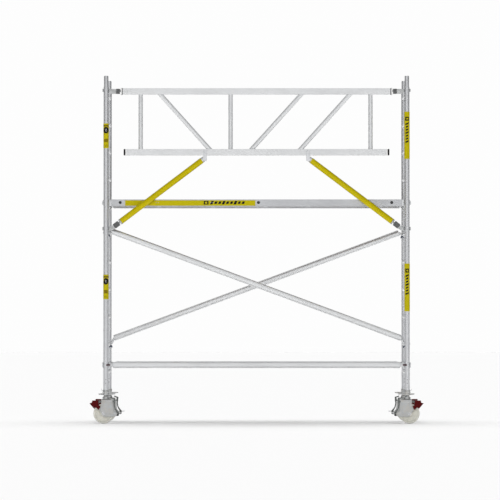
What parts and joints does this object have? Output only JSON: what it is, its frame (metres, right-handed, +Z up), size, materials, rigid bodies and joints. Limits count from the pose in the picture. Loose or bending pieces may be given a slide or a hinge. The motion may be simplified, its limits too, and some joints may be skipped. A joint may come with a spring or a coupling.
{
  "type": "mobile scaffold tower",
  "caption": "Mobile aluminium scaffold tower: ladder end frames, hooked platform with hatch, claw-ended braces, a guardrail on one side and braked castors on screw legs.",
  "frame": {"origin": "on the floor, midway between the four legs", "axes": "+X along the bay towards the right end frame, -Y towards the guardrail side, +Z up"},
  "size_m": [3.358, 0.847, 3.5],
  "materials": {
    "aluminium": "mill finish, satin",
    "zinc_steel": "zinc plated, satin",
    "cream_nylon": "moulded, semi-matt",
    "red_plastic": "moulded, satin",
    "blue_plastic": "moulded, satin",
    "yellow_paint": "powder coated, satin",
    "dark_steel": "blackened, satin",
    "dark_plastic": "moulded, matt",
    "plywood": "phenolic film, matt"
  },
  "bodies": {
    "tower": {"lower_frame_left": "aluminium", "lower_frame_right": "aluminium", "upper_frame_left": "aluminium", "upper_frame_right": "aluminium", "horizontal_brace_front": "aluminium", "horizontal_brace_rear": "aluminium", "diagonal_brace_front": "aluminium", "diagonal_brace_rear": "aluminium", "guardrail_frame": "aluminium", "guardrail_arm_left": "yellow_paint", "guardrail_arm_right": "yellow_paint", "guardrail_claw_left": "zinc_steel", "guardrail_claw_right": "zinc_steel", "arm_claw_left": "zinc_steel", "arm_claw_right": "zinc_steel", "platform_chassis": "aluminium", "platform_end_left": "aluminium", "platform_end_right": "aluminium", "deck_panel_long": "plywood", "deck_panel_short": "plywood"},
    "leg_front_left": {"leg_front_left": "zinc_steel"},
    "nut_front_left": {"wing_nut_front_left": "zinc_steel"},
    "fork_front_left": {"fork_front_left": "zinc_steel"},
    "wheel_front_left": {"wheel_front_left": "cream_nylon"},
    "brake_front_left": {"brake_lever_front_left": "dark_steel", "brake_pedal_front_left": "red_plastic"},
    "leg_rear_left": {"leg_rear_left": "zinc_steel"},
    "nut_rear_left": {"wing_nut_rear_left": "zinc_steel"},
    "fork_rear_left": {"fork_rear_left": "zinc_steel"},
    "wheel_rear_left": {"wheel_rear_left": "cream_nylon"},
    "brake_rear_left": {"brake_lever_rear_left": "dark_steel", "brake_pedal_rear_left": "red_plastic"},
    "leg_front_right": {"leg_front_right": "zinc_steel"},
    "nut_front_right": {"wing_nut_front_right": "zinc_steel"},
    "fork_front_right": {"fork_front_right": "zinc_steel"},
    "wheel_front_right": {"wheel_front_right": "cream_nylon"},
    "brake_front_right": {"brake_lever_front_right": "dark_steel", "brake_pedal_front_right": "red_plastic"},
    "leg_rear_right": {"leg_rear_right": "zinc_steel"},
    "nut_rear_right": {"wing_nut_rear_right": "zinc_steel"},
    "fork_rear_right": {"fork_rear_right": "zinc_steel"},
    "wheel_rear_right": {"wheel_rear_right": "cream_nylon"},
    "brake_rear_right": {"brake_lever_rear_right": "dark_steel", "brake_pedal_rear_right": "red_plastic"},
    "brace_pawl_front_left": {"brace_pawl_front_left": "red_plastic"},
    "brace_pawl_front_right": {"brace_pawl_front_right": "red_plastic"},
    "diagonal_pawl_front_left": {"diagonal_pawl_front_left": "blue_plastic"},
    "diagonal_pawl_front_right": {"diagonal_pawl_front_right": "blue_plastic"},
    "brace_pawl_rear_left": {"brace_pawl_rear_left": "red_plastic"},
    "brace_pawl_rear_right": {"brace_pawl_rear_right": "red_plastic"},
    "diagonal_pawl_rear_left": {"diagonal_pawl_rear_left": "blue_plastic"},
    "diagonal_pawl_rear_right": {"diagonal_pawl_rear_right": "blue_plastic"},
    "guardrail_trigger_left": {"guardrail_trigger_left": "dark_plastic"},
    "arm_trigger_left": {"arm_trigger_left": "dark_plastic"},
    "windlock_left": {"windlock_left": "zinc_steel"},
    "guardrail_trigger_right": {"guardrail_trigger_right": "dark_plastic"},
    "arm_trigger_right": {"arm_trigger_right": "dark_plastic"},
    "windlock_right": {"windlock_right": "zinc_steel"},
    "hatch": {"hatch": "plywood"},
    "hatch_latch": {"hatch_latch": "dark_plastic"}
  },
  "joints": [
    {"name": "hatch_open", "type": "hinge", "parent": "tower", "child": "hatch", "pos_m": [0.903, -0.284, 2.255], "axis": [1, 0, 0], "range_deg": [0, 85]},
    {"name": "latch_turn", "type": "hinge", "parent": "hatch", "child": "hatch_latch", "pos_m": [0.903, 0.245, 2.255], "axis": [0, 0, 1], "range_deg": [0, 90]},
    {"name": "windlock_left_swing", "type": "hinge", "parent": "tower", "child": "windlock_left", "pos_m": [-1.476, 0, 2.188], "axis": [0, -1, 0], "range_deg": [0, 75], "stiffness_Nm_per_rad": 0.6, "springref_deg": -28.65},
    {"name": "windlock_right_swing", "type": "hinge", "parent": "tower", "child": "windlock_right", "pos_m": [1.476, 0, 2.188], "axis": [0, 1, 0], "range_deg": [0, 75], "stiffness_Nm_per_rad": 0.6, "springref_deg": -28.65},
    {"name": "guardrail_trigger_left_pull", "type": "slide", "parent": "tower", "child": "guardrail_trigger_left", "axis": [1, 0, 0], "range_m": [0, 0.009], "stiffness_N_per_m": 400, "springref_m": -0.01},
    {"name": "guardrail_trigger_right_pull", "type": "slide", "parent": "tower", "child": "guardrail_trigger_right", "axis": [-1, 0, 0], "range_m": [0, 0.009], "stiffness_N_per_m": 400, "springref_m": -0.01},
    {"name": "arm_trigger_left_pull", "type": "slide", "parent": "tower", "child": "arm_trigger_left", "axis": [0.7981, 0, 0.6025], "range_m": [0, 0.01], "stiffness_N_per_m": 400, "springref_m": -0.01},
    {"name": "arm_trigger_right_pull", "type": "slide", "parent": "tower", "child": "arm_trigger_right", "axis": [-0.7981, 0, 0.6025], "range_m": [0, 0.01], "stiffness_N_per_m": 400, "springref_m": -0.01},
    {"name": "nut_turn_front_left", "type": "hinge", "parent": "tower", "child": "nut_front_left", "pos_m": [-1.515, -0.35, 0.3], "axis": [0, 0, 1], "range_deg": [0, 7200]},
    {"name": "leg_extend_front_left", "type": "slide", "parent": "tower", "child": "leg_front_left", "axis": [0, 0, -1], "range_m": [0, 0.2001]},
    {"name": "fork_swivel_front_left", "type": "hinge", "parent": "leg_front_left", "child": "fork_front_left", "pos_m": [-1.515, -0.35, 0.2465], "axis": [0, 0, 1], "continuous": true},
    {"name": "wheel_spin_front_left", "type": "hinge", "parent": "fork_front_left", "child": "wheel_front_left", "pos_m": [-1.54, -0.35, 0.1], "axis": [0, 1, 0], "continuous": true},
    {"name": "brake_press_front_left", "type": "hinge", "parent": "fork_front_left", "child": "brake_front_left", "pos_m": [-1.396, -0.35, 0.086], "axis": [0, -1, 0], "range_deg": [0, 2.5]},
    {"name": "nut_turn_rear_left", "type": "hinge", "parent": "tower", "child": "nut_rear_left", "pos_m": [-1.515, 0.35, 0.3], "axis": [0, 0, 1], "range_deg": [0, 7200]},
    {"name": "leg_extend_rear_left", "type": "slide", "parent": "tower", "child": "leg_rear_left", "axis": [0, 0, -1], "range_m": [0, 0.2001]},
    {"name": "fork_swivel_rear_left", "type": "hinge", "parent": "leg_rear_left", "child": "fork_rear_left", "pos_m": [-1.515, 0.35, 0.2465], "axis": [0, 0, 1], "continuous": true},
    {"name": "wheel_spin_rear_left", "type": "hinge", "parent": "fork_rear_left", "child": "wheel_rear_left", "pos_m": [-1.54, 0.35, 0.1], "axis": [0, 1, 0], "continuous": true},
    {"name": "brake_press_rear_left", "type": "hinge", "parent": "fork_rear_left", "child": "brake_rear_left", "pos_m": [-1.396, 0.35, 0.086], "axis": [0, -1, 0], "range_deg": [0, 2.5]},
    {"name": "nut_turn_front_right", "type": "hinge", "parent": "tower", "child": "nut_front_right", "pos_m": [1.515, -0.35, 0.3], "axis": [0, 0, 1], "range_deg": [0, 7200]},
    {"name": "leg_extend_front_right", "type": "slide", "parent": "tower", "child": "leg_front_right", "axis": [0, 0, -1], "range_m": [0, 0.2001]},
    {"name": "fork_swivel_front_right", "type": "hinge", "parent": "leg_front_right", "child": "fork_front_right", "pos_m": [1.515, -0.35, 0.2465], "axis": [0, 0, 1], "continuous": true},
    {"name": "wheel_spin_front_right", "type": "hinge", "parent": "fork_front_right", "child": "wheel_front_right", "pos_m": [1.54, -0.35, 0.1], "axis": [0, 1, 0], "continuous": true},
    {"name": "brake_press_front_right", "type": "hinge", "parent": "fork_front_right", "child": "brake_front_right", "pos_m": [1.396, -0.35, 0.086], "axis": [0, 1, 0], "range_deg": [0, 2.5]},
    {"name": "nut_turn_rear_right", "type": "hinge", "parent": "tower", "child": "nut_rear_right", "pos_m": [1.515, 0.35, 0.3], "axis": [0, 0, 1], "range_deg": [0, 7200]},
    {"name": "leg_extend_rear_right", "type": "slide", "parent": "tower", "child": "leg_rear_right", "axis": [0, 0, -1], "range_m": [0, 0.2001]},
    {"name": "fork_swivel_rear_right", "type": "hinge", "parent": "leg_rear_right", "child": "fork_rear_right", "pos_m": [1.515, 0.35, 0.2465], "axis": [0, 0, 1], "continuous": true},
    {"name": "wheel_spin_rear_right", "type": "hinge", "parent": "fork_rear_right", "child": "wheel_rear_right", "pos_m": [1.54, 0.35, 0.1], "axis": [0, 1, 0], "continuous": true},
    {"name": "brake_press_rear_right", "type": "hinge", "parent": "fork_rear_right", "child": "brake_rear_right", "pos_m": [1.396, 0.35, 0.086], "axis": [0, 1, 0], "range_deg": [0, 2.5]},
    {"name": "brace_pawl_front_left_swing", "type": "hinge", "parent": "tower", "child": "brace_pawl_front_left", "pos_m": [-1.482, -0.365, 0.588], "axis": [0, 0, 1], "range_deg": [0, 40], "stiffness_Nm_per_rad": 0.05, "springref_deg": -14.32},
    {"name": "brace_pawl_front_right_swing", "type": "hinge", "parent": "tower", "child": "brace_pawl_front_right", "pos_m": [1.482, -0.365, 0.588], "axis": [0, 0, -1], "range_deg": [0, 40], "stiffness_Nm_per_rad": 0.05, "springref_deg": -14.32},
    {"name": "diagonal_pawl_front_left_swing", "type": "hinge", "parent": "tower", "child": "diagonal_pawl_front_left", "pos_m": [-1.485, -0.285, 1.903], "axis": [0, -1, 0], "range_deg": [0, 25], "stiffness_Nm_per_rad": 0.05, "springref_deg": -14.32},
    {"name": "diagonal_pawl_front_right_swing", "type": "hinge", "parent": "tower", "child": "diagonal_pawl_front_right", "pos_m": [1.485, -0.285, 0.783], "axis": [0, 1, 0], "range_deg": [0, 25], "stiffness_Nm_per_rad": 0.05, "springref_deg": -14.32},
    {"name": "brace_pawl_rear_left_swing", "type": "hinge", "parent": "tower", "child": "brace_pawl_rear_left", "pos_m": [-1.482, 0.365, 0.588], "axis": [0, 0, -1], "range_deg": [0, 40], "stiffness_Nm_per_rad": 0.05, "springref_deg": -14.32},
    {"name": "brace_pawl_rear_right_swing", "type": "hinge", "parent": "tower", "child": "brace_pawl_rear_right", "pos_m": [1.482, 0.365, 0.588], "axis": [0, 0, 1], "range_deg": [0, 40], "stiffness_Nm_per_rad": 0.05, "springref_deg": -14.32},
    {"name": "diagonal_pawl_rear_left_swing", "type": "hinge", "parent": "tower", "child": "diagonal_pawl_rear_left", "pos_m": [-1.485, 0.285, 0.783], "axis": [0, -1, 0], "range_deg": [0, 25], "stiffness_Nm_per_rad": 0.05, "springref_deg": -14.32},
    {"name": "diagonal_pawl_rear_right_swing", "type": "hinge", "parent": "tower", "child": "diagonal_pawl_rear_right", "pos_m": [1.485, 0.285, 1.903], "axis": [0, 1, 0], "range_deg": [0, 25], "stiffness_Nm_per_rad": 0.05, "springref_deg": -14.32}
  ],
  "couplings": [
    {"joint": "leg_extend_front_left", "follows": "nut_turn_front_left", "m_per_rad": 0.0015915},
    {"joint": "leg_extend_rear_left", "follows": "nut_turn_rear_left", "m_per_rad": 0.0015915},
    {"joint": "leg_extend_front_right", "follows": "nut_turn_front_right", "m_per_rad": 0.0015915},
    {"joint": "leg_extend_rear_right", "follows": "nut_turn_rear_right", "m_per_rad": 0.0015915}
  ]
}
